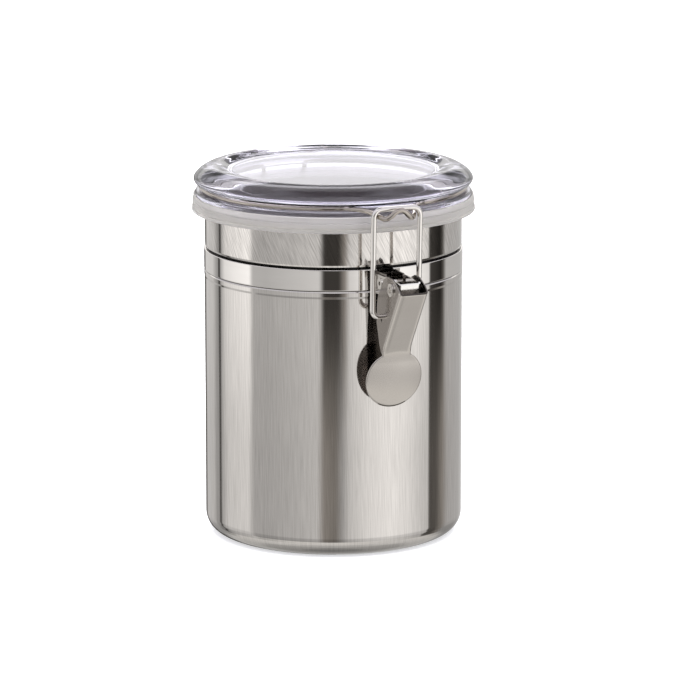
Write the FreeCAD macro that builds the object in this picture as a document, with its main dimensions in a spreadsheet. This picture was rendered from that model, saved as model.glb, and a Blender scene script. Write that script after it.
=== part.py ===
import FreeCAD, Part
import math
import os

import Sketcher

# A kitchen canister with an over-centre latch. The base centre is the origin, +Z is up,
# the latch is on the -Y side and the lid's hinge is on the +Y side.

V3 = FreeCAD.Vector
AXIS_X = V3(1, 0, 0)
AXIS_Y = V3(0, 1, 0)
AXIS_Z = V3(0, 0, 1)

os.makedirs("parts", exist_ok=True)
doc = FreeCAD.newDocument("canister")
sheet = doc.addObject("Spreadsheet::Sheet", "Sizes")

SIZES = {
    # canister body, drawn from one sheet
    "wall": 0.7,
    "body_rad": 63.75,
    "base_round": 10.0,
    "bead_rad": 63.95,
    "bead_low": 128.9,
    "bead_top": 132.2,
    "groove_rad": 63.2,
    "groove_low": 132.6,
    "groove_top": 144.5,
    "neck_rad": 63.5,
    "neck_low": 145.0,
    "rim_top": 165.6,
    "rim_roll": 1.3,
    # clamp band and its two front ears
    "band_rad": 64.0,
    "band_low": 133.1,
    "band_top": 143.4,
    "ear_out": 5.0,
    "ear_reach": 76.0,
    "strip": 0.8,
    # latch bracket
    "bracket_half": 5.8,
    "bracket_back": 64.6,
    "bracket_front": 94.3,
    "bracket_low": 132.3,
    "bracket_top": 142.2,
    # rivets
    "lever_pin_y": 88.8,
    "pin_height": 138.0,
    "lever_pin_rad": 2.0,
    "lever_head_rad": 3.2,
    "bracket_pin_y": 71.8,
    "bracket_pin_rad": 1.5,
    "bracket_head_rad": 2.7,
    # latch lever
    "lever_half": 7.4,
    "lever_sheet": 0.8,
    "web_sheet": 0.9,
    "web_bend": 2.4,
    "web_top_y": 100.1,
    "web_top_height": 137.2,
    "neck_y": 78.0,
    "neck_height": 103.7,
    "paddle_rad": 14.4,
    "paddle_y": 75.1,
    "paddle_height": 90.9,
    "paddle_tilt": 13.0,
    "bail_hole_rad": 1.4,
    # latch bail
    "bail_wire": 1.35,
    "bail_half": 12.0,
    "bail_pin_y": 76.8,
    "bail_pin_height": 122.8,
    "bail_top_y": 78.7,
    "bail_top_height": 175.5,
    "bail_corner": 4.0,
    # lid
    "lid_rad": 68.9,
    "lid_crest_rad": 57.8,
    "lid_top": 184.1,
    "panel_rad": 50.8,
    "panel_top": 182.4,
    "panel_under": 178.8,
    "lid_flange_rad": 68.3,
    "flange_low": 167.8,
    "flange_top": 172.2,
    "channel_rad": 63.6,
    "channel_top": 175.0,
    "spigot_rad": 60.3,
    "spigot_low": 165.2,
    # gasket
    "gasket_rad": 70.0,
    "skirt_low": 162.3,
    "lip_top": 170.2,
    "skirt_inner": 67.3,
    "seal_low": 165.9,
    # lid ring
    "ring_wire": 1.3,
    "ring_rad": 65.0,
    "ring_height": 173.7,
    "leg_half": 12.0,
    # hinge
    "hinge_y": 73.0,
    "hinge_height": 138.4,
    "hinge_half": 8.6,
    "hinge_sheet": 1.0,
    "hinge_back": 64.4,
    "hinge_hole": 1.35,
}

for row, (alias, value) in enumerate(SIZES.items(), start=1):
    sheet.set(f"A{row}", alias)
    sheet.set(f"B{row}", str(value))
    sheet.setAlias(f"B{row}", alias)
doc.recompute()


def size(alias):
    return float(sheet.get(alias))


def bind(obj, prop, formula):
    obj.setExpression(prop, formula)


def formula_value(formula):
    # The number a formula of the sheet's names stands for
    return float(sheet.evalExpression(formula.replace("Sizes.", "")))


def outline(body, plane, points):
    # A closed outline of straight lines whose corners follow the sheet
    sketch = body.newObject("Sketcher::SketchObject", body.Name + "_outline")
    for feature in body.Origin.OriginFeatures:
        if getattr(feature, "Role", "") == plane:
            sketch.AttachmentSupport = [(feature, "")]
    sketch.MapMode = "FlatFace"
    spots = [V3(formula_value(a), formula_value(b), 0) for a, b in points]
    count = len(spots)
    for i in range(count):
        sketch.addGeometry(Part.LineSegment(spots[i], spots[(i + 1) % count]), False)
    for i in range(count):
        sketch.addConstraint(Sketcher.Constraint("Coincident", i, 2, (i + 1) % count, 1))
    for i, (across, up) in enumerate(points):
        for kind, formula, value in (
            ("DistanceX", across, spots[i].x),
            ("DistanceY", up, spots[i].y),
        ):
            if abs(value) < 1e-9:
                other = "PointOnObject"
                line = -2 if kind == "DistanceX" else -1
                sketch.addConstraint(Sketcher.Constraint(other, i, 1, line))
                continue
            number = sketch.addConstraint(Sketcher.Constraint(kind, -1, 1, i, 1, value))
            bind(sketch, f"Constraints[{number}]", formula)
    return sketch


def turned(label, points):
    # A solid of revolution about Z
    body = doc.addObject("PartDesign::Body", label)
    body.Label = label
    sketch = outline(body, "XZ_Plane", points)
    solid = body.newObject("PartDesign::Revolution", label + "_turned")
    solid.Profile = sketch
    solid.ReferenceAxis = (sketch, ["V_Axis"])
    solid.Angle = 360
    doc.recompute()
    return body


def round_rings(body, rings):
    # Rounds the circular edges of a turned solid: (radius, height, rounding)
    for ring_rad, height, rounding in rings:
        base = body.Tip
        names = []
        for i, edge in enumerate(base.Shape.Edges, start=1):
            curve = edge.Curve
            if isinstance(curve, Part.Circle) and abs(curve.Radius - ring_rad) < 0.02:
                if abs(curve.Center.z - height) < 0.02:
                    names.append(f"Edge{i}")
        fillet = body.newObject("PartDesign::Fillet", body.Name + "_round")
        fillet.Base = (base, names)
        fillet.Radius = rounding
        body.Tip = fillet
        doc.recompute()


def solid_node(label, shape):
    node = doc.addObject("Part::Feature", label)
    node.Label = label
    node.Shape = shape.removeSplitter()
    return node


def cylinder(name, rad, length, start, axis):
    # A cylinder whose radius and length are formulas, from a start point along an axis
    obj = doc.addObject("Part::Cylinder", name)
    bind(obj, "Radius", rad)
    bind(obj, "Height", length)
    obj.Placement = FreeCAD.Placement(start, FreeCAD.Rotation(AXIS_Z, axis))
    return obj


def fuse(label, members):
    obj = doc.addObject("Part::MultiFuse", label)
    obj.Shapes = members
    obj.Label = label
    return obj


def cut(label, base, tool):
    obj = doc.addObject("Part::Cut", label)
    obj.Base = base
    obj.Tool = tool
    obj.Label = label
    return obj


def plate(points, low_x, high_x):
    # A flat plate: an outline in the YZ plane, thickened along X
    corners = [V3(low_x, y, z) for y, z in points]
    face = Part.Face(Part.makePolygon(corners + corners[:1]))
    return face.extrude(V3(high_x - low_x, 0, 0))


def bored(shape, holes):
    # Holes along X through everything: (y, z, radius)
    for y, z, rad in holes:
        shape = shape.cut(Part.makeCylinder(rad, 60, V3(-30, y, z), AXIS_X))
    return shape


def pick_edges(shape, test):
    return [edge for edge in shape.Edges if test(edge)]


def swept(path, rad):
    # A round wire along a path
    spot = path.OrderedVertexes[0].Point
    first = path.OrderedEdges[0]
    low, high = first.ParameterRange
    at_low = first.valueAt(low).distanceToPoint(spot) < first.valueAt(high).distanceToPoint(spot)
    tangent = first.tangentAt(low if at_low else high)
    ring = Part.Wire(Part.makeCircle(rad, spot, tangent))
    shell = path.makePipeShell([ring], True, False, 2)
    return shell


def filleted_edges(spots, roundings):
    # Straight runs joined by arcs, one rounding for each inner corner; 0 leaves it sharp
    edges = []
    last = spots[0]
    for i, rounding in enumerate(roundings, start=1):
        corner = spots[i]
        if rounding == 0:
            edges.append(Part.LineSegment(last, corner).toShape())
            last = corner
            continue
        back = (spots[i - 1] - corner).normalize()
        ahead = (spots[i + 1] - corner).normalize()
        half = back.getAngle(ahead) / 2
        middle_way = (back + ahead).normalize()
        start = corner + back * (rounding / math.tan(half))
        end = corner + ahead * (rounding / math.tan(half))
        middle = corner + middle_way * (rounding / math.sin(half) - rounding)
        edges.append(Part.LineSegment(last, start).toShape())
        edges.append(Part.Arc(start, middle, end).toShape())
        last = end
    edges.append(Part.LineSegment(last, spots[-1]).toShape())
    return edges


def filleted_path(spots, roundings):
    return Part.Wire(filleted_edges(spots, roundings))


def filleted_outline(points):
    # A rounded run in the XZ plane: (radius, height, rounding)
    spots = [V3(rad, 0, height) for rad, height, _ in points]
    return filleted_edges(spots, [rounding for _, _, rounding in points[1:-1]])


# ---- canister body: drawn cup with a banding groove and a rolled rim ----
inner_body = "Sizes.body_rad - Sizes.wall"
inner_groove = "Sizes.groove_rad - Sizes.wall"
inner_neck = "Sizes.neck_rad - Sizes.wall"
cup = turned(
    "canister_cup",
    [
        ("0", "0"),
        ("Sizes.body_rad", "0"),
        ("Sizes.body_rad", "Sizes.bead_low"),
        ("Sizes.bead_rad", "Sizes.bead_low + 0.6"),
        ("Sizes.bead_rad", "Sizes.bead_top - 0.5"),
        ("Sizes.groove_rad", "Sizes.groove_low"),
        ("Sizes.groove_rad", "Sizes.groove_top"),
        ("Sizes.neck_rad", "Sizes.neck_low"),
        ("Sizes.neck_rad", "Sizes.rim_top - Sizes.rim_roll"),
        (inner_neck, "Sizes.rim_top - Sizes.rim_roll"),
        (inner_neck, "Sizes.neck_low"),
        (inner_groove, "Sizes.groove_top"),
        (inner_groove, "Sizes.groove_low"),
        (inner_body, "Sizes.bead_low"),
        (inner_body, "Sizes.wall"),
        ("0", "Sizes.wall"),
    ],
)
round_rings(
    cup,
    [
        (size("body_rad"), 0, size("base_round")),
        (size("body_rad") - size("wall"), size("wall"), size("base_round") - size("wall")),
    ],
)
rim = doc.addObject("Part::Torus", "rolled_rim")
bind(rim, "Radius1", "Sizes.neck_rad + 0.5")
bind(rim, "Radius2", "Sizes.rim_roll")
rim.Placement.Base = V3(0, 0, size("rim_top") - size("rim_roll"))
canister_body = fuse("canister_body", [cup, rim])

# ---- clamp band: a strip around the groove, its ends turned out as two ears ----
band_height = "Sizes.band_top - Sizes.band_low"
band_floor = V3(0, 0, size("band_low"))
band_outer = cylinder("band_outer", "Sizes.band_rad", band_height, band_floor, AXIS_Z)
band_inner = cylinder("band_inner", "Sizes.groove_rad", band_height, band_floor, AXIS_Z)
band_hoop = cut("band_hoop", band_outer, band_inner)
band_gap = doc.addObject("Part::Box", "band_gap")
bind(band_gap, "Length", "2 * (Sizes.ear_out - Sizes.strip)")
bind(band_gap, "Width", "20")
bind(band_gap, "Height", "Sizes.band_top - Sizes.band_low + 2")
gap_half = size("ear_out") - size("strip")
band_gap.Placement.Base = V3(-gap_half, -70, size("band_low") - 1)
band_strip = cut("band_strip", band_hoop, band_gap)
ears = []
for side, low_x in (("left", -size("ear_out")), ("right", gap_half)):
    ear = doc.addObject("Part::Box", f"band_ear_{side}")
    bind(ear, "Length", "Sizes.strip")
    bind(ear, "Width", "Sizes.ear_reach - 63.4")
    bind(ear, "Height", "Sizes.band_top - Sizes.band_low - 0.8")
    ear.Placement.Base = V3(low_x, -size("ear_reach"), size("band_low") + 0.4)
    ears.append(ear)
band_blank = fuse("band_blank", [band_strip] + ears)
through = "2 * Sizes.lever_half + 4"
bracket_hole = cylinder(
    "band_rivet_hole",
    "Sizes.bracket_pin_rad",
    through,
    V3(-size("lever_half") - 2, -size("bracket_pin_y"), size("pin_height")),
    AXIS_X,
)
band_bored = cut("band_bored", band_blank, bracket_hole)
hinge_hole = cylinder(
    "band_hinge_hole",
    "Sizes.bracket_pin_rad",
    "20",
    V3(0, 55, size("hinge_height") - 0.5),
    AXIS_Y,
)
clamp_band = cut("clamp_band", band_bored, hinge_hole)

# ---- latch bracket: a channel whose web faces outwards, riveted to the band's ears ----
back_y = -size("bracket_back")
front_y = -size("bracket_front")
low_z = size("bracket_low")
high_z = size("bracket_top")
half = size("bracket_half")
strip = size("strip")
bracket_side = [
    (back_y, low_z + 0.6),
    (back_y - 0.8, low_z),
    (front_y + 2.5, low_z),
    (front_y, low_z + 2.2),
    (front_y, high_z - 1.2),
    (front_y + 1.5, high_z - 0.4),
    (back_y - 14, high_z),
    (back_y, high_z - 0.4),
]
bracket = plate(bracket_side, -half, half)
front_edges = pick_edges(
    bracket,
    lambda e: abs(e.CenterOfMass.y - front_y) < 0.01 and abs(abs(e.CenterOfMass.x) - half) < 0.01,
)
bracket = bracket.makeFillet(1.4, front_edges)
hollow = Part.makeBox(
    2 * (half - strip),
    size("bracket_front") - strip - 60,
    40,
    V3(-(half - strip), front_y + strip, low_z - 10),
)
hollow_edges = pick_edges(
    hollow,
    lambda e: abs(e.CenterOfMass.y - front_y - strip) < 0.01
    and abs(abs(e.CenterOfMass.x) - half + strip) < 0.01,
)
hollow = hollow.makeFillet(0.7, hollow_edges)
bracket = bored(
    bracket.cut(hollow),
    [
        (-size("lever_pin_y"), size("pin_height"), size("lever_pin_rad")),
        (-size("bracket_pin_y"), size("pin_height"), size("bracket_pin_rad")),
    ],
)
latch_bracket = solid_node("latch_bracket", bracket)


def tubular_rivet(label, y, face, pin_rad, head_rad, head, hollow_rad, lift):
    # A rivet across X, with a flat head on each side of two plates and a hollow in each head
    pin = cylinder(
        label + "_pin",
        pin_rad,
        f"2 * ({face} + {lift})",
        V3(-formula_value(f"{face} + {lift}"), y, size("pin_height")),
        AXIS_X,
    )
    heads = []
    bores = []
    reach = formula_value(f"{face} + {lift}")
    for side, way in (("left", -1), ("right", 1)):
        start = V3(way * reach, y, size("pin_height"))
        heads.append(cylinder(f"{label}_head_{side}", head_rad, head, start, AXIS_X * way))
        mouth = V3(way * (reach + formula_value(head) + 0.1), y, size("pin_height"))
        bores.append(cylinder(f"{label}_bore_{side}", hollow_rad, "1.4", mouth, AXIS_X * -way))
    blank = fuse(label + "_blank", [pin] + heads)
    tools = fuse(label + "_bores", bores)
    return cut(label, blank, tools)


lever_rivet = tubular_rivet(
    "lever_rivet",
    -size("lever_pin_y"),
    "Sizes.lever_half",
    "Sizes.lever_pin_rad",
    "Sizes.lever_head_rad",
    "0.7",
    "1.3",
    "0.1",
)
bracket_rivet = tubular_rivet(
    "bracket_rivet",
    -size("bracket_pin_y"),
    "Sizes.bracket_half",
    "Sizes.bracket_pin_rad",
    "Sizes.bracket_head_rad",
    "0.45",
    "1",
    "0",
)

# ---- latch lever: a channel with a sloping web that ends in a round paddle ----
lever_body = doc.addObject("PartDesign::Body", "lever_channel")
side_outline = [
    ("-Sizes.web_top_y", "Sizes.web_top_height"),
    ("-95.6", "140.8"),
    ("-89.8", "143.3"),
    ("-84.4", "143.5"),
    ("-79.4", "141.5"),
    ("-76.9", "136.9"),
    ("-72.9", "132.7"),
    ("-71.7", "128.5"),
    ("-71.1", "119.1"),
    ("-74.5", "108.8"),
    ("-Sizes.neck_y + 1.1", "Sizes.neck_height + 0.6"),
    ("-Sizes.neck_y", "Sizes.neck_height"),
]
side_sketch = outline(lever_body, "YZ_Plane", side_outline)
block = lever_body.newObject("PartDesign::Pad", "lever_block")
block.Profile = side_sketch
bind(block, "Length", "2 * Sizes.lever_half")
block.Midplane = True
doc.recompute()
web_run = V3(0, -size("web_top_y") + size("neck_y"), size("web_top_height") - size("neck_height"))
web_names = []
for number, edge in enumerate(block.Shape.Edges, start=1):
    middle = edge.CenterOfMass
    along = edge.tangentAt(edge.FirstParameter)
    on_side = abs(abs(middle.x) - size("lever_half")) < 0.01
    is_web = abs(abs(along.dot(V3(web_run).normalize())) - 1) < 1e-4
    if on_side and is_web and edge.Length > 30:
        web_names.append(f"Edge{number}")
web_round = lever_body.newObject("PartDesign::Fillet", "lever_web_round")
web_round.Base = (block, web_names)
bind(web_round, "Radius", "Sizes.web_bend")
lever_body.Tip = web_round
doc.recompute()

lean = math.atan2(-web_run.y, web_run.z)
web_normal = V3(0, -math.cos(lean), -math.sin(lean))
inner_half = size("lever_half") - size("lever_sheet")
web_inset = web_normal * -size("web_sheet")
top_in = V3(0, -size("web_top_y"), size("web_top_height")) + web_inset
neck_in = V3(0, -size("neck_y"), size("neck_height")) + web_inset
run = V3(web_run).normalize()
top_far = top_in + run * 20
neck_far = neck_in - run * 8
channel_points = [
    (top_far.y, top_far.z),
    (neck_far.y, neck_far.z),
    (neck_far.y + 40, neck_far.z),
    (top_far.y + 40, top_far.z + 20),
]
channel = plate(channel_points, -inner_half, inner_half)
channel_edges = pick_edges(
    channel,
    lambda e: abs(abs(e.CenterOfMass.x) - inner_half) < 0.01
    and abs(abs(e.tangentAt(e.FirstParameter).dot(run)) - 1) < 1e-4
    and e.Length > 40,
)
channel = channel.makeFillet(size("web_bend") - size("lever_sheet"), channel_edges)
lever_shape = lever_body.Shape.cut(channel)
pin2_y = -size("bail_pin_y")
pin2_z = size("bail_pin_height")
lever_shape = bored(
    lever_shape,
    [
        (-size("lever_pin_y"), size("pin_height"), size("lever_pin_rad") + 0.05),
        (pin2_y, pin2_z, size("bail_hole_rad")),
    ],
)
# A small V-shaped relief under each bail hole
relief = plate(
    [(pin2_y - 1.2, pin2_z - 0.6), (pin2_y - 0.3, pin2_z - 3.0), (pin2_y + 1.2, pin2_z - 0.6)],
    -10,
    10,
)
lever_shape = lever_shape.cut(relief)
tilt = math.radians(size("paddle_tilt"))
paddle_normal = V3(0, -math.cos(tilt), -math.sin(tilt))
paddle_centre = V3(0, -size("paddle_y"), size("paddle_height"))
paddle_back = paddle_centre - paddle_normal * size("web_sheet")
paddle = Part.makeCylinder(size("paddle_rad"), size("web_sheet"), paddle_back, paddle_normal)
# The shoulder joins the channel's web to the paddle
paddle_up = V3(0, -math.sin(tilt), math.cos(tilt))
shoulder_low = paddle_centre + paddle_up * 6
neck_out = V3(0, -size("neck_y"), size("neck_height"))
shoulder = plate(
    [
        (neck_out.y, neck_out.z),
        (shoulder_low.y, shoulder_low.z),
        (
            shoulder_low.y - paddle_normal.y * size("web_sheet"),
            shoulder_low.z - paddle_normal.z * size("web_sheet"),
        ),
        (neck_in.y + 0.1, neck_in.z - 0.1),
        (neck_in.y + run.y * 2.5, neck_in.z + run.z * 2.5),
        (neck_out.y + run.y * 2.5, neck_out.z + run.z * 2.5),
    ],
    -size("lever_half") + 1.2,
    size("lever_half") - 1.2,
)
latch_lever = solid_node("latch_lever", lever_shape.fuse([paddle, shoulder]))

# ---- latch bail: a rectangular wire whose lower ends turn in through the lever's sides ----
bail_half = size("bail_half")
low_y = -size("bail_pin_y")
top_y = -size("bail_top_y")
top_z = size("bail_top_height")
pin_end = 5.7
bail_points = [
    V3(-pin_end, low_y, pin2_z),
    V3(-bail_half, low_y, pin2_z),
    V3(-bail_half, top_y, top_z),
    V3(bail_half, top_y, top_z),
    V3(bail_half, low_y, pin2_z),
    V3(pin_end, low_y, pin2_z),
]
corner = size("bail_corner")
bail_path = filleted_path(bail_points, [3.4, corner, corner, 3.4])
latch_bail = solid_node("latch_bail", swept(bail_path, size("bail_wire")))

# ---- lid: clear moulding with a domed edge, a wire channel and a flange ----
lid_rad = size("lid_rad")
crest_rad = size("lid_crest_rad")
crest = size("lid_top")
panel_rad = size("panel_rad")
panel_top = size("panel_top")
panel_under = size("panel_under")
lip = size("channel_top")
rim_start = (lid_rad - 2.4, lip)
rim_end = (panel_rad - 0.6, panel_top)
dome = Part.BSplineCurve()
dome.interpolate(
    Points=[
        V3(rim_start[0], 0, rim_start[1]),
        V3(lid_rad - 0.7, 0, lip + 0.9),
        V3(lid_rad, 0, lip + 3.0),
        V3(lid_rad - 0.9, 0, lip + 5.7),
        V3(lid_rad - 3.6, 0, lip + 8.4),
        V3(crest_rad + 3.6, 0, crest - 0.4),
        V3(crest_rad - 0.5, 0, crest),
        V3(crest_rad - 4, 0, crest - 0.6),
        V3(panel_rad + 0.6, 0, panel_top + 0.2),
        V3(rim_end[0], 0, rim_end[1]),
    ],
    InitialTangent=V3(1, 0, 0.25),
    FinalTangent=V3(-1, 0, 0),
)
lower_edges = filleted_outline(
    [
        (0, panel_under, 0),
        (panel_rad + 1, panel_under, 3.0),
        (panel_rad + 4.6, size("spigot_low"), 0.6),
        (size("spigot_rad"), size("spigot_low"), 0.5),
        (size("spigot_rad"), size("flange_low"), 0),
        (size("lid_flange_rad"), size("flange_low"), 0),
        (size("lid_flange_rad") - 0.3, size("flange_top"), 0.8),
        (size("channel_rad"), size("flange_top"), 0.9),
        (size("channel_rad"), lip, 0.9),
        (rim_start[0], lip, 0),
    ]
)
top_edges = [
    dome.toShape(),
    Part.LineSegment(V3(rim_end[0], 0, panel_top), V3(0, 0, panel_top)).toShape(),
    Part.LineSegment(V3(0, 0, panel_top), V3(0, 0, panel_under)).toShape(),
]
lid_face = Part.Face(Part.Wire(lower_edges + top_edges))
lid = solid_node("lid", lid_face.revolve(V3(0, 0, 0), AXIS_Z, 360))

# ---- gasket: a soft ring under the lid's flange, with a skirt outside the rim ----
lid_gasket = turned(
    "lid_gasket",
    [
        ("Sizes.spigot_rad + 0.02", "Sizes.seal_low"),
        ("Sizes.skirt_inner", "Sizes.seal_low"),
        ("Sizes.skirt_inner", "Sizes.skirt_low"),
        ("Sizes.gasket_rad", "Sizes.skirt_low"),
        ("Sizes.gasket_rad - 0.6", "Sizes.lip_top"),
        ("Sizes.lid_flange_rad", "Sizes.lip_top"),
        ("Sizes.lid_flange_rad", "Sizes.flange_low"),
        ("Sizes.spigot_rad + 0.02", "Sizes.flange_low"),
    ],
)
round_rings(
    lid_gasket,
    [
        (size("gasket_rad"), size("skirt_low"), 0.9),
        (size("gasket_rad") - 0.6, size("lip_top"), 0.5),
    ],
)

# ---- lid ring: wire in the lid's channel; a catch in front and two hinge legs behind ----
ring_rad = size("ring_rad")
ring_z = size("ring_height")


def on_ring(degrees, rad=ring_rad, height=ring_z):
    angle = math.radians(degrees)
    return V3(rad * math.sin(angle), -rad * math.cos(angle), height)


catch = [
    V3(0.0, -82.3, 176.6),
    V3(2.5, -82.2, 175.2),
    V3(4.8, -81.7, 172.2),
    V3(7.0, -80.2, 170.8),
    V3(8.8, -77.6, 171.5),
    V3(10.6, -73.6, 172.8),
    V3(13.2, -68.4, 173.6),
]
leg_x = size("leg_half")
leg_y = size("hinge_y")
leg_z = size("hinge_height")
def ring_way(degrees, way=1):
    # The ring's direction of travel at an angle from the latch
    angle = math.radians(degrees)
    return V3(way * math.cos(angle), math.sin(angle), 0)


def curve_through(points, first_way, last_way):
    curve = Part.BSplineCurve()
    curve.interpolate(Points=points, InitialTangent=first_way, FinalTangent=last_way)
    return Part.Wire([curve.toShape()])


catch_end = 18.0
rise_start = 158.0
right_catch = catch + [on_ring(catch_end)]
left_catch = [V3(-p.x, p.y, p.z) for p in reversed(right_catch[1:])]
catch_curve = curve_through(
    left_catch + right_catch, ring_way(-catch_end), ring_way(catch_end)
)
runs = [catch_curve]
for way in (-1, 1):
    bow = [on_ring(a) for a in (catch_end, (catch_end + rise_start) / 2, rise_start)]
    bow = [V3(way * p.x, p.y, p.z) for p in bow]
    runs.append(Part.Wire([Part.Arc(*bow).toShape()]))
    rise = [on_ring(rise_start), V3(17.6, 64.9, ring_z), V3(13.6, 70.6, ring_z - 0.9)]
    rise.append(V3(leg_x, leg_y, ring_z - 6))
    rise = [V3(way * p.x, p.y, p.z) for p in rise]
    runs.append(curve_through(rise, ring_way(rise_start, way), V3(0, 0, -1)))
    leg = [rise[-1], V3(way * leg_x, leg_y, leg_z), V3(way * 5.7, leg_y, leg_z)]
    runs.append(filleted_path(leg, [3.2]))
wires = [swept(path, size("ring_wire")) for path in runs]
lid_ring = solid_node("lid_ring", wires[0].fuse(wires[1:]))

# ---- hinge bracket: a small channel riveted behind the band, with two pierced ears ----
hinge_low = size("hinge_height") - 5.4
hinge_high = size("hinge_height") + 4.8
hinge_back = size("hinge_back")
hinge_sheet = size("hinge_sheet")
hinge_side = [
    (hinge_back, hinge_low),
    (hinge_back + 6, hinge_low),
    (leg_y + 1.6, size("hinge_height") - 3.2),
    (leg_y + 3.2, size("hinge_height") - 1.3),
    (leg_y + 3.2, size("hinge_height") + 1.3),
    (leg_y + 1.6, size("hinge_height") + 3.2),
    (hinge_back + 6, hinge_high),
    (hinge_back, hinge_high),
]
hinge_half = size("hinge_half")
hinge = plate(hinge_side, -hinge_half, hinge_half)
hinge_edges = pick_edges(
    hinge,
    lambda e: abs(e.CenterOfMass.y - hinge_back) < 0.01
    and abs(abs(e.CenterOfMass.x) - hinge_half) < 0.01,
)
hinge = hinge.makeFillet(1.6, hinge_edges)
hinge_hollow = Part.makeBox(
    2 * (hinge_half - hinge_sheet),
    30,
    30,
    V3(-(hinge_half - hinge_sheet), hinge_back + hinge_sheet, hinge_low - 5),
)
hinge = bored(hinge.cut(hinge_hollow), [(leg_y, leg_z, size("hinge_hole"))])
hinge = hinge.cut(
    Part.makeCylinder(size("bracket_pin_rad"), 20, V3(0, 55, leg_z - 0.5), AXIS_Y)
)
hinge_bracket = solid_node("hinge_bracket", hinge)
rivet_spot = V3(0, size("groove_rad") + 0.1, leg_z - 0.5)
hinge_pin = cylinder(
    "hinge_rivet_pin",
    "Sizes.bracket_pin_rad",
    "Sizes.hinge_back + Sizes.hinge_sheet - Sizes.groove_rad - 0.1",
    rivet_spot,
    AXIS_Y,
)
hinge_head = doc.addObject("Part::Cone", "hinge_rivet_head")
bind(hinge_head, "Radius1", "Sizes.bracket_head_rad")
bind(hinge_head, "Radius2", "Sizes.bracket_head_rad - 1")
hinge_head.Height = 0.9
head_spot = V3(0, hinge_back + hinge_sheet, leg_z - 0.5)
hinge_head.Placement = FreeCAD.Placement(head_spot, FreeCAD.Rotation(AXIS_Z, AXIS_Y))
hinge_rivet = fuse("hinge_rivet", [hinge_pin, hinge_head])

doc.recompute()

NODES = [
    canister_body,
    clamp_band,
    latch_bracket,
    lever_rivet,
    bracket_rivet,
    latch_lever,
    latch_bail,
    lid,
    lid_gasket,
    lid_ring,
    hinge_bracket,
    hinge_rivet,
]

for obj in doc.Objects:
    bad = [word for word in obj.State if word in ("Invalid", "Error")]
    if bad:
        raise RuntimeError(f"{obj.Label} is {bad}")

for node in NODES:
    shape = node.Shape
    if shape.isNull() or not shape.isValid():
        raise RuntimeError(f"{node.Label} has no valid shape")
    if len(shape.Solids) != 1:
        raise RuntimeError(f"{node.Label} has {len(shape.Solids)} solids")
    shape.exportStep(f"parts/{node.Label}.step")
    print(node.Label, round(shape.Volume, 1))
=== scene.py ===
import math

import bmesh
import bpy
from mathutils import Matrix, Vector
from mathutils.geometry import delaunay_2d_cdt


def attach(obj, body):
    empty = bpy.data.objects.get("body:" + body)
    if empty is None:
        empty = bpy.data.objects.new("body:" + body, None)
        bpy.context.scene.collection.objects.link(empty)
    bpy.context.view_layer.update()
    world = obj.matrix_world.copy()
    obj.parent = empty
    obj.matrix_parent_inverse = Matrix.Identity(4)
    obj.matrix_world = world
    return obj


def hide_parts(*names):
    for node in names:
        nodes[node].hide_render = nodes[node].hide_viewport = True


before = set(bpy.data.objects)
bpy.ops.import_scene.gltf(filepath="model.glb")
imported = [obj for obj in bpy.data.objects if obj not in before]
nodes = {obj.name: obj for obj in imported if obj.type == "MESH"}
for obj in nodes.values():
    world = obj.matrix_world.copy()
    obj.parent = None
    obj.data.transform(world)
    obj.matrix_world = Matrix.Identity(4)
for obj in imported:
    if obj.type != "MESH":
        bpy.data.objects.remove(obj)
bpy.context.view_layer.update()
MM = 0.001

# ---------------------------------------------------------------- shader helpers


def new_material(name):
    mat = bpy.data.materials.new(name)
    mat.use_nodes = True
    tree = mat.node_tree
    return mat, tree, tree.nodes["Principled BSDF"]


def add(tree, kind, **values):
    node = tree.nodes.new(kind)
    for key, value in values.items():
        setattr(node, key, value)
    return node


def noise(tree, scale, stretch=(1, 1, 1), detail=4.0):
    coords = add(tree, "ShaderNodeTexCoord")
    mapping = add(tree, "ShaderNodeMapping")
    mapping.inputs["Scale"].default_value = stretch
    tex = add(tree, "ShaderNodeTexNoise")
    tex.inputs["Scale"].default_value = scale
    tex.inputs["Detail"].default_value = detail
    tree.links.new(coords.outputs["Object"], mapping.inputs["Vector"])
    tree.links.new(mapping.outputs["Vector"], tex.inputs["Vector"])
    return tex.outputs["Fac"]


def feed(tree, socket, value):
    # A socket takes another node's output, a colour or a number
    if isinstance(value, bpy.types.NodeSocket):
        tree.links.new(value, socket)
    elif isinstance(value, tuple):
        socket.default_value = (*value, 1)
    else:
        socket.default_value = value


def math_node(tree, operation, *values):
    node = add(tree, "ShaderNodeMath", operation=operation)
    for number, value in enumerate(values):
        feed(tree, node.inputs[number], value)
    return node.outputs[0]


def ranged(tree, source, span, reach=(0.0, 1.0), interpolation="LINEAR"):
    # Maps a span of values onto a reach, and holds the ends beyond it
    node = add(tree, "ShaderNodeMapRange", interpolation_type=interpolation)
    node.inputs["From Min"].default_value = span[0]
    node.inputs["From Max"].default_value = span[1]
    node.inputs["To Min"].default_value = reach[0]
    node.inputs["To Max"].default_value = reach[1]
    tree.links.new(source, node.inputs["Value"])
    return node.outputs["Result"]


def spread(tree, source, low, high):
    return ranged(tree, source, (0.0, 1.0), (low, high))


def mixed(tree, factor, first, second, data_type="RGBA", blend_type="MIX"):
    node = add(tree, "ShaderNodeMix", data_type=data_type, blend_type=blend_type)
    feed(tree, node.inputs["Factor"], factor)
    feed(tree, node.inputs["A"], first)
    feed(tree, node.inputs["B"], second)
    return node.outputs["Result"]


def multiplied(tree, colour, by):
    return mixed(tree, 1.0, colour, by, blend_type="MULTIPLY")


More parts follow.
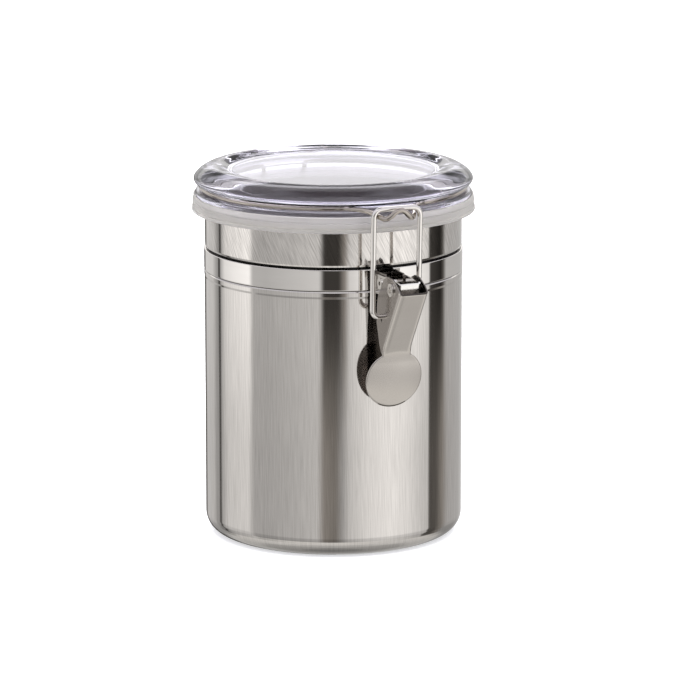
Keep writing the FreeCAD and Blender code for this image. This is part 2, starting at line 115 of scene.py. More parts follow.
def colour_ramp(tree, value, stops):
    # Stops are (position, colour) in rising order
    node = add(tree, "ShaderNodeValToRGB")
    elements = node.color_ramp.elements
    while len(elements) > 1:
        elements.remove(elements[0])
    for i, (position, colour) in enumerate(stops):
        element = elements[0] if i == 0 else elements.new(position)
        element.position = position
        element.color = (*colour, 1)
    tree.links.new(value, node.inputs["Fac"])
    return node.outputs["Color"]


def axes_of(tree, vector):
    split = add(tree, "ShaderNodeSeparateXYZ")
    tree.links.new(vector, split.inputs["Vector"])
    return split.outputs["X"], split.outputs["Y"], split.outputs["Z"]


def joined_axes(tree, x, y, z=0.0):
    node = add(tree, "ShaderNodeCombineXYZ")
    for name, value in zip("XYZ", (x, y, z)):
        feed(tree, node.inputs[name], value)
    return node.outputs["Vector"]


def compass(tree, x, y):
    # The angle about Z from the latch side, in radians
    return math_node(tree, "ARCTAN2", x, math_node(tree, "MULTIPLY", y, -1.0))


def bump(tree, source, shader, strength, distance):
    node = add(tree, "ShaderNodeBump")
    node.inputs["Strength"].default_value = strength
    node.inputs["Distance"].default_value = distance
    tree.links.new(source, node.inputs["Height"])
    tree.links.new(node.outputs["Normal"], shader.inputs["Normal"])


GRAIN_DEPTH = 0.02 * MM


def coat(tree, shader, pattern, colours, rough):
    # Colour and roughness drift together over the surface
    tree.links.new(mixed(tree, pattern, *colours), shader.inputs["Base Color"])
    tree.links.new(spread(tree, pattern, *rough), shader.inputs["Roughness"])


def metal(name, light, dark, rough, grain=(1, 1, 1), scale=300, relief=0.0):
    mat, tree, shader = new_material(name)
    shader.inputs["Metallic"].default_value = 1.0
    streaks = noise(tree, scale, grain)
    coat(tree, shader, streaks, (light, dark), rough)
    if relief:
        bump(tree, streaks, shader, relief, GRAIN_DEPTH)
    return mat


# ---------------------------------------------------------------- mesh helpers


def mesh_object(name, verts, faces, material, sharp=40):
    mesh = bpy.data.meshes.new(name)
    mesh.from_pydata([tuple(c * MM for c in v) for v in verts], [], faces)
    mesh.validate()
    mesh.shade_smooth()
    mesh.set_sharp_from_angle(angle=math.radians(sharp))
    mesh.materials.append(material)
    obj = bpy.data.objects.new(name, mesh)
    bpy.context.collection.objects.link(obj)
    return obj


def corner_arc(before, corner, after, rounding, steps):
    # The arc that rounds one corner of an outline or a path
    back = (before - corner).normalized()
    ahead = (after - corner).normalized()
    half = back.angle(ahead) / 2
    trim = rounding / math.tan(half)
    centre = corner + (back + ahead).normalized() * (rounding / math.sin(half))
    a = corner + back * trim - centre
    b = corner + ahead * trim - centre
    turn = a.angle(b)
    arc = []
    for k in range(steps + 1):
        u = k / steps
        spoke = (a * math.sin((1 - u) * turn) + b * math.sin(u * turn)) / math.sin(turn)
        arc.append(centre + spoke)
    return arc


def rounded(points, steps):
    # Corners given as (radius, height, rounding) become runs of points
    corners = [Vector(p[:2]) for p in points]
    out = []
    for i, corner in enumerate(corners):
        rounding = points[i][2]
        if rounding == 0 or i in (0, len(corners) - 1):
            out.append(corner)
        else:
            out += corner_arc(corners[i - 1], corner, corners[i + 1], rounding, steps)
    return out


def smooth_through(points, steps=8):
    # A curve through every point (centripetal spline), any dimension
    pts = [Vector(p) for p in points]
    ends = [pts[0] * 2 - pts[1]] + pts + [pts[-1] * 2 - pts[-2]]
    out = []
    for i in range(1, len(ends) - 2):
        p0, p1, p2, p3 = ends[i - 1 : i + 3]
        t0 = 0.0
        t1 = t0 + math.sqrt((p1 - p0).length)
        t2 = t1 + math.sqrt((p2 - p1).length)
        t3 = t2 + math.sqrt((p3 - p2).length)
        for k in range(steps):
            t = t1 + (t2 - t1) * k / steps
            a1 = p0 * ((t1 - t) / (t1 - t0)) + p1 * ((t - t0) / (t1 - t0))
            a2 = p1 * ((t2 - t) / (t2 - t1)) + p2 * ((t - t1) / (t2 - t1))
            a3 = p2 * ((t3 - t) / (t3 - t2)) + p3 * ((t - t2) / (t3 - t2))
            b1 = a1 * ((t2 - t) / (t2 - t0)) + a2 * ((t - t0) / (t2 - t0))
            b2 = a2 * ((t3 - t) / (t3 - t1)) + a3 * ((t - t1) / (t3 - t1))
            out.append(b1 * ((t2 - t) / (t2 - t1)) + b2 * ((t - t1) / (t2 - t1)))
    out.append(pts[-1])
    return out


def supported(points, closed, near=0.35):
    # Extra points beside the ends of long straight runs keep their shading flat
    out = []
    count = len(points)
    for i in range(count):
        out.append(points[i])
        if i == count - 1 and not closed:
            break
        ahead = points[(i + 1) % count]
        run = ahead - points[i]
        if run.length > 4 * near:
            out.append(points[i] + run.normalized() * near)
            out.append(ahead - run.normalized() * near)
    return out


def lathe(name, profile, material, segments=240, start=0.0, sweep=360.0, sharp=40):
    # Turns a closed profile about Z; angles in degrees from the latch side
    profile = supported([Vector(p) for p in profile], True)
    closed = abs(sweep - 360) < 1e-6
    rows = segments if closed else segments + 1
    verts = []
    for i in range(rows):
        a = math.radians(start + sweep * i / segments)
        for p in profile:
            verts.append((p[0] * math.sin(a), -p[0] * math.cos(a), p[1]))
    count = len(profile)
    faces = []
    for i in range(segments):
        a = i * count
        b = ((i + 1) % rows) * count
        for k in range(count):
            n = (k + 1) % count
            on_axis = profile[k][0] < 1e-6 and profile[n][0] < 1e-6
            if not on_axis:
                faces.append((a + k, b + k, b + n, a + n))
    if not closed:
        faces.append(tuple(range(count)))
        faces.append(tuple(range((rows - 1) * count, rows * count))[::-1])
    obj = mesh_object(name, verts, faces, material, sharp)
    weld(obj)
    return obj


def weld(obj):
    bm = bmesh.new()
    bm.from_mesh(obj.data)
    bmesh.ops.remove_doubles(bm, verts=bm.verts, dist=1e-7)
    bmesh.ops.recalc_face_normals(bm, faces=bm.faces)
    bm.to_mesh(obj.data)
    bm.free()


TIP_SETBACK = 0.3
TIP_SCALE = 0.72


def wire(name, path, radius, material, sides=20):
    # A round wire along a path, with slightly tapered ends
    pts = [Vector(p) for p in path]
    keep = [pts[0]]
    for p in pts[1:]:
        if (p - keep[-1]).length > 1e-4:
            keep.append(p)
    pts = supported(keep, False)
    verts = []
    faces = []
    tangent = (pts[1] - pts[0]).normalized()
    side = tangent.orthogonal().normalized()
    rings = []
    for i, p in enumerate(pts):
        ahead = pts[min(i + 1, len(pts) - 1)]
        behind = pts[max(i - 1, 0)]
        new_tangent = (ahead - behind).normalized()
        side = (side - new_tangent * side.dot(new_tangent)).normalized()
        up = new_tangent.cross(side)
        scales = [(0.0, 1.0)]
        if i == 0:
            scales = [(0.0, TIP_SCALE), (TIP_SETBACK, 1.0)]
        if i == len(pts) - 1:
            scales = [(-TIP_SETBACK, 1.0), (0.0, TIP_SCALE)]
        for shift, scale in scales:
            start = len(verts)
            for k in range(sides):
                a = 2 * math.pi * k / sides
                spoke = side * math.cos(a) + up * math.sin(a)
                verts.append(tuple(p + new_tangent * shift + spoke * radius * scale))
            rings.append(start)
    for a, b in zip(rings, rings[1:]):
        for k in range(sides):
            n = (k + 1) % sides
            faces.append((a + k, a + n, b + n, b + k))
    faces.append(tuple(range(rings[0], rings[0] + sides))[::-1])
    faces.append(tuple(range(rings[-1], rings[-1] + sides)))
    obj = mesh_object(name, verts, faces, material, 60)
    weld(obj)
    return obj


def bent_path(corners, roundings, steps=8):
    # Straight runs in space joined by arcs
    stations = [Vector(c) for c in corners]
    out = [stations[0]]
    for i, rounding in enumerate(roundings, 1):
        out += corner_arc(stations[i - 1], stations[i], stations[i + 1], rounding, steps)
    out.append(stations[-1])
    return out


def stands_for(obj, node, body):
    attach(obj, body)
    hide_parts(node)


def dress(node, material, bevel):
    # Gives a CAD node its finish and breaks its sharp edges
    obj = nodes[node]
    obj.data.materials.clear()
    obj.data.materials.append(material)
    edge = obj.modifiers.new("edges", "BEVEL")
    edge.width = bevel * MM
    edge.segments = 2
    edge.limit_method = "ANGLE"
    edge.angle_limit = math.radians(40)
    edge.harden_normals = False


# ---------------------------------------------------------------- finishes

RIM_START = 161.2
NECK_START = 144.5
# Painted shade on the cup's colour by height: dark in the groove above the band and in a line under the
# rim
PAINTED_SHADE = [
    (132.5, 1.0), (132.8, 0.30), (143.2, 0.10), (143.5, 0.03), (144.4, 0.03), (144.75, 1.0),
    (RIM_START, 1.0), (162.9, 0.12), (163.4, 0.12), (163.8, 1.0),
]
PAINTED_SHADE_FROM = 125
PAINTED_SHADE_TO = 166
# Brush marks, as lean in radians and width to length: crossing the neck, and upright below it
NECK_MARKS = (0.42, 0.05)
BODY_MARKS = (0.02, 0.03)


def brush_marks(tree, unrolled, lean, thin):
    mapping = add(tree, "ShaderNodeMapping", vector_type="TEXTURE")
    mapping.inputs["Rotation"].default_value = (0, 0, lean)
    mapping.inputs["Scale"].default_value = (1, 1 / thin, 1)
    tree.links.new(unrolled, mapping.inputs["Vector"])
    tex = add(tree, "ShaderNodeTexNoise")
    tex.inputs["Scale"].default_value = 110
    tex.inputs["Detail"].default_value = 3
    tree.links.new(mapping.outputs["Vector"], tex.inputs["Vector"])
    return tex.outputs["Fac"]


def faces_inward(tree, normal, x, y):
    # Inside faces point at the axis, or up from the cup's floor
    outward = joined_axes(tree, x, y, -0.02)
    product = add(tree, "ShaderNodeVectorMath", operation="DOT_PRODUCT")
    tree.links.new(outward, product.inputs[0])
    tree.links.new(normal, product.inputs[1])
    return math_node(tree, "LESS_THAN", product.outputs["Value"], -0.004)


def finish_cup(mat):
    tree = mat.node_tree
    shader = tree.nodes["Principled BSDF"]
    plain = shader.inputs["Base Color"].links[0].from_socket
    outer_rough = shader.inputs["Roughness"].links[0].from_socket
    coords = add(tree, "ShaderNodeTexCoord")
    x, y, z = axes_of(tree, coords.outputs["Object"])

    unrolled = joined_axes(tree, compass(tree, x, y), math_node(tree, "MULTIPLY", z, 16.0))
    neck_marks = brush_marks(tree, unrolled, *NECK_MARKS)
    body_marks = spread(tree, brush_marks(tree, unrolled, *BODY_MARKS), 0.31, 0.69)
    on_neck = math_node(tree, "GREATER_THAN", z, NECK_START * MM)
    marks = mixed(tree, on_neck, body_marks, neck_marks, data_type="FLOAT")
    bump(tree, marks, shader, 0.10, GRAIN_DEPTH)

    # Brushed light and dark, painted shade by height and a painted darker foot, over the plain colour
    worn = ranged(tree, marks, (0.36, 0.64), (0.80, 1.12))
    height = ranged(tree, z, (PAINTED_SHADE_FROM * MM, PAINTED_SHADE_TO * MM))
    stops = [((h - PAINTED_SHADE_FROM) / (PAINTED_SHADE_TO - PAINTED_SHADE_FROM), (level,) * 3) for h, level in PAINTED_SHADE]
    shade_layer = colour_ramp(tree, height, stops)
    # Painted shade: the lowest 10 mm of the cup are darkened towards the floor
    foot_shade = ranged(tree, z, (-0.001, 0.010), (0.28, 1.0), "SMOOTHSTEP")
    outer = plain
    for layer in (worn, shade_layer, foot_shade):
        outer = multiplied(tree, outer, layer)

    # The inside is plain satin steel
    inside = faces_inward(tree, coords.outputs["Normal"], x, y)
    tree.links.new(mixed(tree, inside, outer, plain), shader.inputs["Base Color"])
    rough = mixed(tree, inside, outer_rough, 0.36, data_type="FLOAT")
    tree.links.new(rough, shader.inputs["Roughness"])
    tree.links.new(spread(tree, inside, 1.0, 0.45), shader.inputs["Metallic"])


body_steel = metal(
    "body_steel", (0.70, 0.672, 0.645), (0.63, 0.604, 0.578), (0.045, 0.085), (1, 1, 0.03), 900
)
finish_cup(body_steel)

band_steel = metal("band_steel", (0.77, 0.745, 0.72), (0.71, 0.685, 0.66), (0.01, 0.035), (1, 1, 8), 60)
# The band's ears are coloured far darker than the band itself: painted shade
ear_shaded_steel = metal("ear_shaded_steel", (0.34, 0.315, 0.295), (0.26, 0.24, 0.22), (0.10, 0.2), scale=200)
wire_steel = metal("wire_steel", (0.86, 0.83, 0.80), (0.76, 0.73, 0.70), (0.03, 0.08), scale=400)
# The lid ring's wire is coloured far darker than the bail's wire: painted shade
ring_shaded_steel = metal("ring_shaded_steel", (0.52, 0.475, 0.43), (0.42, 0.38, 0.34), (0.02, 0.07), scale=400)
rivet_steel = metal("rivet_steel", (0.92, 0.90, 0.87), (0.84, 0.82, 0.79), (0.10, 0.20), scale=700)
bracket_steel = metal("bracket_steel", (0.84, 0.82, 0.79), (0.76, 0.74, 0.71), (0.10, 0.18), scale=400)
latch_steel = metal(
    "latch_steel", (0.59, 0.555, 0.515), (0.535, 0.50, 0.465), (0.16, 0.24), scale=90, relief=0.03
)

lever_side_shaded_steel, tree, shader = new_material("lever_side_shaded_steel")
shader.inputs["Metallic"].default_value = 1.0
coords = add(tree, "ShaderNodeTexCoord")
across, _, _ = axes_of(tree, coords.outputs["Object"])
# Painted shade: near-black inside the channel, the lighter steel colour only on the outer faces of its
# sides
outer = ranged(tree, math_node(tree, "ABSOLUTE", across), (0.0069, 0.0073))
mottle = noise(tree, 220)
coat(tree, shader, mottle, ((0.50, 0.47, 0.44), (0.44, 0.41, 0.385)), (0.16, 0.26))
sides = shader.inputs["Base Color"].links[0].from_socket
tree.links.new(mixed(tree, outer, (0.10, 0.09, 0.08), sides), shader.inputs["Base Color"])

clear_lid, tree, shader = new_material("clear_lid")
coat(tree, shader, noise(tree, 40), ((0.94, 0.925, 1.0), (0.90, 0.885, 0.985)), (0.0, 0.012))
shader.inputs["IOR"].default_value = 1.49
shader.inputs["Transmission Weight"].default_value = 1.0

gasket_silicone, tree, shader = new_material("gasket_silicone")
coat(tree, shader, noise(tree, 120), ((0.74, 0.715, 0.68), (0.66, 0.64, 0.60)), (0.25, 0.36))
shader.inputs["IOR"].default_value = 1.41
shader.inputs["Transmission Weight"].default_value = 0.65

# ---------------------------------------------------------------- canister body

# Radii and heights in mm; the dark slot is the top millimetre of the groove above the band
WALL = 0.7
BODY = 63.75
BASE_ROUND = 9.9
BEAD = 63.95
BEAD_LOW = 130.2
BEAD_HIGH = 132.2
GROOVE = 62.9
SLOT = 61.9
SLOT_LOW = 143.5
SLOT_HIGH = 144.5
NECK_OUT = 63.5
NECK_IN = 62.8
GROOVE_IN = 61.4
BODY_IN = 63.0
RIM_RADIUS = 64.2
RIM_HEIGHT = 164.3
RIM_ROLL = 1.3

cup_profile = rounded(
    [
        (0, 0, 0),
        (BODY, 0, BASE_ROUND),
        (BODY, BEAD_LOW - 1.0, 0.8),
        (BEAD, BEAD_LOW, 0.8),
        (BEAD, BEAD_HIGH, 0.5),
        (BEAD - 0.5, BEAD_HIGH + 0.7, 0.2),
        (GROOVE, BEAD_HIGH + 1.1, 0.2),
        (GROOVE, SLOT_LOW - 0.3, 0.1),
        (SLOT, SLOT_LOW, 0.1),
        (SLOT, SLOT_HIGH, 0.1),
        (NECK_OUT - 0.35, SLOT_HIGH + 0.1, 0.25),
        (NECK_OUT, SLOT_HIGH + 1.1, 0.4),
        (NECK_OUT + 0.05, RIM_HEIGHT - 1.1, 0),
    ],
    10,
)
for k in range(13):
    a = math.radians(-113 + 293 * k / 12)
    roll = Vector((math.cos(a), math.sin(a))) * RIM_ROLL
    cup_profile.append(Vector((RIM_RADIUS, RIM_HEIGHT)) + roll)
cup_profile += rounded(
    [
        (NECK_IN, RIM_HEIGHT - 0.1, 0),
        (NECK_IN, SLOT_HIGH + 0.7, 0.4),
        (GROOVE_IN, SLOT_HIGH - 0.3, 0.4),
        (GROOVE_IN, BEAD_HIGH + 0.4, 0.4),
        (BODY_IN, BEAD_LOW + 0.8, 0.4),
        (BODY_IN, WALL, BASE_ROUND - WALL),
        (0, WALL, 0),
    ],
    8,
)
cup = lathe("cup_shell", cup_profile, body_steel, 288)
stands_for(cup, "canister_body", "canister")

# ---------------------------------------------------------------- clamp band

BAND_IN = 62.95
BAND_OUT = 64.0
BAND_LOW = 133.1
BAND_HIGH = 143.5
BAND_EDGE = 0.35
BAND_GAP = 3.9  # degrees either side of the latch

band_profile = rounded(
    [
        (BAND_IN, BAND_LOW, 0),
        (BAND_OUT, BAND_LOW, BAND_EDGE),
        (BAND_OUT, BAND_HIGH, BAND_EDGE),
        (BAND_IN, BAND_HIGH, 0),
    ],
    4,
)
band = lathe(
    "band_strip", band_profile, band_steel, 240, start=BAND_GAP, sweep=360 - 2 * BAND_GAP
)
EAR_HALF_SHEET = 0.4
EAR_LOW = BAND_LOW + 0.4
EAR_HIGH = BAND_HIGH - 0.5
EAR_X = 4.6
EAR_REACH = -76.0
EAR_BEND = 1.3


def ear_mesh(way, verts, faces):
    # One end of the band, turned out; a section is low-in, low-out, high-in, high-out
    corners = [(way * 8.0, -63.3, 0), (way * EAR_X, -BODY, 0), (way * EAR_X, EAR_REACH, 0)]
    path = bent_path(corners, [EAR_BEND], 6)
    base = len(verts)
    for i, p in enumerate(path):
        run = (path[min(i + 1, len(path) - 1)] - path[max(i - 1, 0)]).normalized()
        across = Vector((-run.y, run.x, 0)) * EAR_HALF_SHEET
        for z in (EAR_LOW, EAR_HIGH):
            for side in (-1, 1):
                corner = p + across * side
                verts.append((corner.x, corner.y, z))
    last = base + 4 * (len(path) - 1)
    for a in range(base, last, 4):
        b = a + 4
        faces += [(a, a + 1, b + 1, b), (a + 2, b + 2, b + 3, a + 3)]
        faces += [(a, b, b + 2, a + 2), (a + 1, a + 3, b + 3, b + 1)]
    faces += [(base, base + 2, base + 3, base + 1), (last, last + 1, last + 3, last + 2)]


ear_verts = []
ear_faces = []
for way in (-1, 1):
    ear_mesh(way, ear_verts, ear_faces)
ears = mesh_object("band_ears", ear_verts, ear_faces, ear_shaded_steel, 40)
weld(ears)
for piece in (band, ears):
    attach(piece, "canister")
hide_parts("clamp_band")

# ---------------------------------------------------------------- lid

# The lid's middle is sunk in a rounded dome ring; a channel round its side holds the hoop
LIP = 175.0
DOME_TOP = 184.1
MIDDLE_TOP = 182.4
MIDDLE_LOW = 178.8
SPIGOT = 60.3
SPIGOT_LOW = 165.2
FLANGE = 68.3
FLANGE_LOW = 167.8
FLANGE_TOP = 172.2
CHANNEL = 63.6

dome = smooth_through(
    [
        (66.6, LIP),
        (68.2, LIP + 1.2),
        (68.9, LIP + 2.9),
        (68.1, LIP + 4.6),
        (66.3, LIP + 6.3),
        (63.9, LIP + 7.8),
        (61.0, DOME_TOP - 0.35),
        (57.6, DOME_TOP),
        (54.0, DOME_TOP - 0.6),
        (51.6, MIDDLE_TOP + 0.2),
        (50.2, MIDDLE_TOP),
    ],
    8,
)
lid_profile = rounded(
    [
        (0, MIDDLE_LOW, 0),
        (51.8, MIDDLE_LOW, 3.0),
        (55.4, SPIGOT_LOW, 0.6),
        (SPIGOT, SPIGOT_LOW, 0.5),
        (SPIGOT, FLANGE_LOW, 0),
        (FLANGE, FLANGE_LOW, 0.2),
        (FLANGE - 0.3, FLANGE_TOP, 0.8),
        (CHANNEL, FLANGE_TOP, 0.9),
        (CHANNEL, LIP, 0.9),
        (66.4, LIP, 0),
    ],
    7,
)
lid_outline = lid_profile + dome + [Vector((0, MIDDLE_TOP))]
lid = lathe("lid_clear", lid_outline, clear_lid, 288, sharp=50)
stands_for(lid, "lid", "lid_assembly")

# The gasket seals under the flange, hangs a skirt outside the rim and laps over the flange
SEAL_IN = SPIGOT + 0.06
SEAL_LOW = 165.9
SEAL_TOP = FLANGE_LOW - 0.04
SKIRT_IN = 67.3
SKIRT_LOW = 162.3
SKIRT_OUT = 69.9
LAP_IN = FLANGE + 0.06
LAP_OUT = 69.2
LAP_TOP = 170.2

gasket_profile = rounded(
    [
        (SEAL_IN, SEAL_LOW, 0.0),
        (SKIRT_IN, SEAL_LOW, 0.4),
        (SKIRT_IN, SKIRT_LOW, 0.4),
        (SKIRT_OUT, SKIRT_LOW, 0.6),
        (SKIRT_OUT + 0.05, SKIRT_LOW + 1.6, 0.3),
        (SKIRT_OUT - 0.6, SKIRT_LOW + 1.9, 0.2),
        (SKIRT_OUT - 0.3, 166.9, 0.3),
        (LAP_OUT, 167.2, 0.15),
        (LAP_OUT + 0.2, 167.6, 0.15),
        (LAP_OUT, LAP_TOP, 0.5),
        (LAP_IN, LAP_TOP, 0.1),
        (LAP_IN, SEAL_TOP, 0.0),
        (SEAL_IN, SEAL_TOP, 0.0),
    ],
    6,
)
gasket = lathe("gasket_skirt", gasket_profile, gasket_silicone, 240)
stands_for(gasket, "lid_gasket", "lid_assembly")

# ---------------------------------------------------------------- lid ring and bail

RING = 65.0
RING_Z = 173.7
RING_WIRE = 1.3
LEG_X = 12
LEG_Y = 73
LEG_TOP = RING_Z - 6
RING_END = (5.7, LEG_Y, 138.4)
BAIL_WIRE = 1.35
BAIL_END_X = 5.7
BAIL_X = 12
BAIL_LOW = (-76.8, 122.8)
BAIL_HIGH = (-78.7, 175.5)


def on_ring(degrees):
    a = math.radians(degrees)
    return Vector((RING * math.sin(a), -RING * math.cos(a), RING_Z))


def mirrored(points):
    return [Vector((-p.x, p.y, p.z)) for p in reversed(points)]


# Right half of the catch, from its middle hump through the dip and back to the lid's side
catch = [
    (0.0, -82.6, 175.2),
    (2.4, -82.5, 174.3),
    (4.6, -82.0, 172.3),
    (6.8, -80.9, 171.0),
    (8.8, -78.2, 171.7),
    (10.6, -74.0, 172.8),
    (13.2, -68.4, 173.6),
]
half = [Vector(p) for p in catch] + [on_ring(a) for a in range(18, 159, 5)]
half += [
    Vector((17.6, 64.9, RING_Z)),
    Vector((13.6, 70.6, RING_Z - 0.9)),
    Vector((LEG_X, LEG_Y, LEG_TOP)),
]
loop = smooth_through(mirrored(half[1:]) + half, 5)
leg = bent_path([(LEG_X, LEG_Y, LEG_TOP), (LEG_X, LEG_Y, RING_END[2]), RING_END], [3.2])
ring = wire("ring_wire", mirrored(leg)[:-1] + loop + leg[1:], RING_WIRE, ring_shaded_steel)
stands_for(ring, "lid_ring", "lid_assembly")

bail_corners = [
    (-BAIL_END_X, *BAIL_LOW),
    (-BAIL_X, *BAIL_LOW),
    (-BAIL_X, *BAIL_HIGH),
    (BAIL_X, *BAIL_HIGH),
    (BAIL_X, *BAIL_LOW),
    (BAIL_END_X, *BAIL_LOW),
]
bail = wire("bail_wire", bent_path(bail_corners, [3.4, 4, 4, 3.4], 10), BAIL_WIRE, wire_steel)
stands_for(bail, "latch_bail", "bail")

# ---------------------------------------------------------------- lever's pressed face

WEB_TOP = (0, -100.1, 137.2)
NECK = (0, -78.03, 103.7)
NECK_BEND = 24.0
PADDLE_FOOT = (0, -71.4, 74.9)
PADDLE = 14.55
PADDLE_PAST_NECK = 13.0
FACE_HALF = 7.45
FACE_START = 0.15
BEND = 2.4
EDGE_ROLL = 0.5
CROWN = 1.2
MESH_STEP = 0.8

face_path = bent_path([WEB_TOP, NECK, PADDLE_FOOT], [NECK_BEND], 16)
face_runs = [0.0]
for p, q in zip(face_path, face_path[1:]):
    face_runs.append(face_runs[-1] + (q - p).length)
# Distances down the face: the middle of the neck's bend, the paddle's centre, and where they meet
neck_run = face_runs[8]
paddle_run = neck_run + PADDLE_PAST_NECK
meet_run = paddle_run - math.sqrt(PADDLE**2 - FACE_HALF**2)


def on_face(across, run, lift):
    # The point at this distance across and down the face, raised off it by lift
    i = 0
    while i < len(face_runs) - 2 and face_runs[i + 1] < run:
        i += 1
    share = (run - face_runs[i]) / (face_runs[i + 1] - face_runs[i])
    along = face_path[i + 1] - face_path[i]
    spot = face_path[i] + along * share
    along.normalize()
    out = Vector((0, along.z, -along.y))
    return tuple(spot + Vector((across, 0, 0)) + out * lift)


def ease(x, low, high):
    t = max(0.0, min(1.0, (x - low) / (high - low)))
    return t * t * (3 - 2 * t)


def channel_share(run):
    # 1 where the face is folded into a channel, 0 on the flat paddle
    return 1 - ease(run, neck_run - 7, neck_run + 1.5)


def face_edge():
    # The flattened face's edge: a straight strip that runs into the round paddle
    half = [(FACE_HALF * k / 8, FACE_START) for k in range(8)]
    length = meet_run - FACE_START
    half += [(FACE_HALF, FACE_START + length * k / 40) for k in range(41)]
    start = math.asin(FACE_HALF / PADDLE)
    for k in range(1, 61):
        a = start + (math.pi - start) * k / 60
        half.append((PADDLE * math.sin(a), paddle_run - PADDLE * math.cos(a)))
    return [Vector(p) for p in half + [(-x, r) for x, r in reversed(half[1:-1])]]


def inward_normals(edge):
    normals = []
    for i in range(len(edge)):
        along = (edge[(i + 1) % len(edge)] - edge[i - 1]).normalized()
        normals.append(Vector((-along.y, along.x)))
    return normals


def grid_inside():
    points = []
    for row in range(1, int((paddle_run + PADDLE) / MESH_STEP)):
        r = row * MESH_STEP
        for col in range(-18, 19):
            x = col * MESH_STEP
            if r < meet_run:
                inside = abs(x) < FACE_HALF - 1.0 and r > 1.0
            else:
                inside = math.hypot(x, r - paddle_run) < PADDLE - 1.0
            if inside:
                points.append(Vector((x, r)))
    return points


def front_lift(p, drop):
    x = abs(p.x)
    fold = 0.0
    if x > FACE_HALF - BEND:
        fold = BEND - math.sqrt(max(0.0, BEND**2 - (x - FACE_HALF + BEND) ** 2))
    reach = math.hypot(p.x, p.y - paddle_run) / PADDLE
    crown = CROWN * max(0.0, 1 - reach**2)
    return 0.14 + crown - fold * channel_share(p.y) - drop


def back_depth(p):
    in_bend = abs(p.x) > FACE_HALF - BEND
    return 0.95 + BEND * channel_share(p.y) * 0.4 * in_bend


def sheet_skin(name, material):
    # Loops from the sheet's rim up its rolled edge, a triangulated middle, and a skirt behind
    edge = face_edge()
    normals = inward_normals(edge)
    count = len(edge)
    points = []
    drops = []
    levels = [math.radians(angle) for angle in range(0, 91, 15)]
    for a in levels:
        inset = EDGE_ROLL * (1 - math.cos(a))
        points += [p + n * inset for p, n in zip(edge, normals)]
        drops += [EDGE_ROLL * (1 - math.sin(a))] * count
    grid = grid_inside()
    flat = points[-count:] + grid
    ring = [(i, (i + 1) % count) for i in range(count)]
    triangles = delaunay_2d_cdt(flat, ring, [], 1, 1e-6)[2]
    points += grid
    drops += [0.0] * len(grid)

    verts = [on_face(p.x, p.y, front_lift(p, drop)) for p, drop in zip(points, drops)]
    back_start = len(verts)
    for edge_point, n in zip(edge, normals):
        verts.append(on_face(*(edge_point + n * 0.25), -back_depth(edge_point + n * 0.25)))
    faces = []
    for level in range(len(levels) - 1):
        a = level * count
        b = a + count
        faces += [(a + i, a + j, b + j, b + i) for i, j in ring]
    faces += [(i, back_start + i, back_start + j, j) for i, j in ring]
    top_loop = (len(levels) - 1) * count
    faces += [tuple(top_loop + k for k in triangle) for triangle in triangles]
    obj = mesh_object(name, verts, faces, material, 70)
    weld(obj)
    sheet = obj.modifiers.new("sheet", "SOLIDIFY")
    sheet.thickness = 0.08 * MM
    sheet.offset = -1
    return obj


# ---------------------------------------------------------------- CAD nodes shown as they are

dress("latch_lever", lever_side_shaded_steel, 0.22)
lever_face = sheet_skin("lever_face", latch_steel)
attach(lever_face, "lever")
dress("latch_bracket", bracket_steel, 0.18)
dress("hinge_bracket", latch_steel, 0.18)
dress("lever_rivet", rivet_steel, 0.2)
dress("bracket_rivet", rivet_steel, 0.12)
dress("hinge_rivet", rivet_steel, 0.2)

# ---------------------------------------------------------------- camera

CAM_AZ = math.radians(-23.0)
CAM_EL = math.radians(12.22)
CAM_REACH = 2.32626
AIM_RIGHT = 0.00819
AIM_HEIGHT = 0.0905
right = Vector((math.cos(CAM_AZ), math.sin(CAM_AZ), 0))
aim = right * AIM_RIGHT + Vector((0, 0, AIM_HEIGHT))
back = Vector(
    (math.sin(CAM_AZ) * math.cos(CAM_EL), -math.cos(CAM_AZ) * math.cos(CAM_EL), math.sin(CAM_EL))
)
cam_data = bpy.data.cameras.new("camera")
cam_data.sensor_width = 36
cam_data.lens = 240.8
cam_data.clip_start = 0.05
cam_data.clip_end = 50
camera = bpy.data.objects.new("camera", cam_data)
camera.location = aim + back * CAM_REACH
camera.rotation_mode = "QUATERNION"
camera.rotation_quaternion = (-back).to_track_quat("-Z", "Y")
bpy.context.collection.objects.link(camera)
bpy.context.scene.camera = camera

# ---------------------------------------------------------------- studio

scene = bpy.context.scene
scene.view_settings.view_transform = "Standard"
scene.view_settings.look = "None"

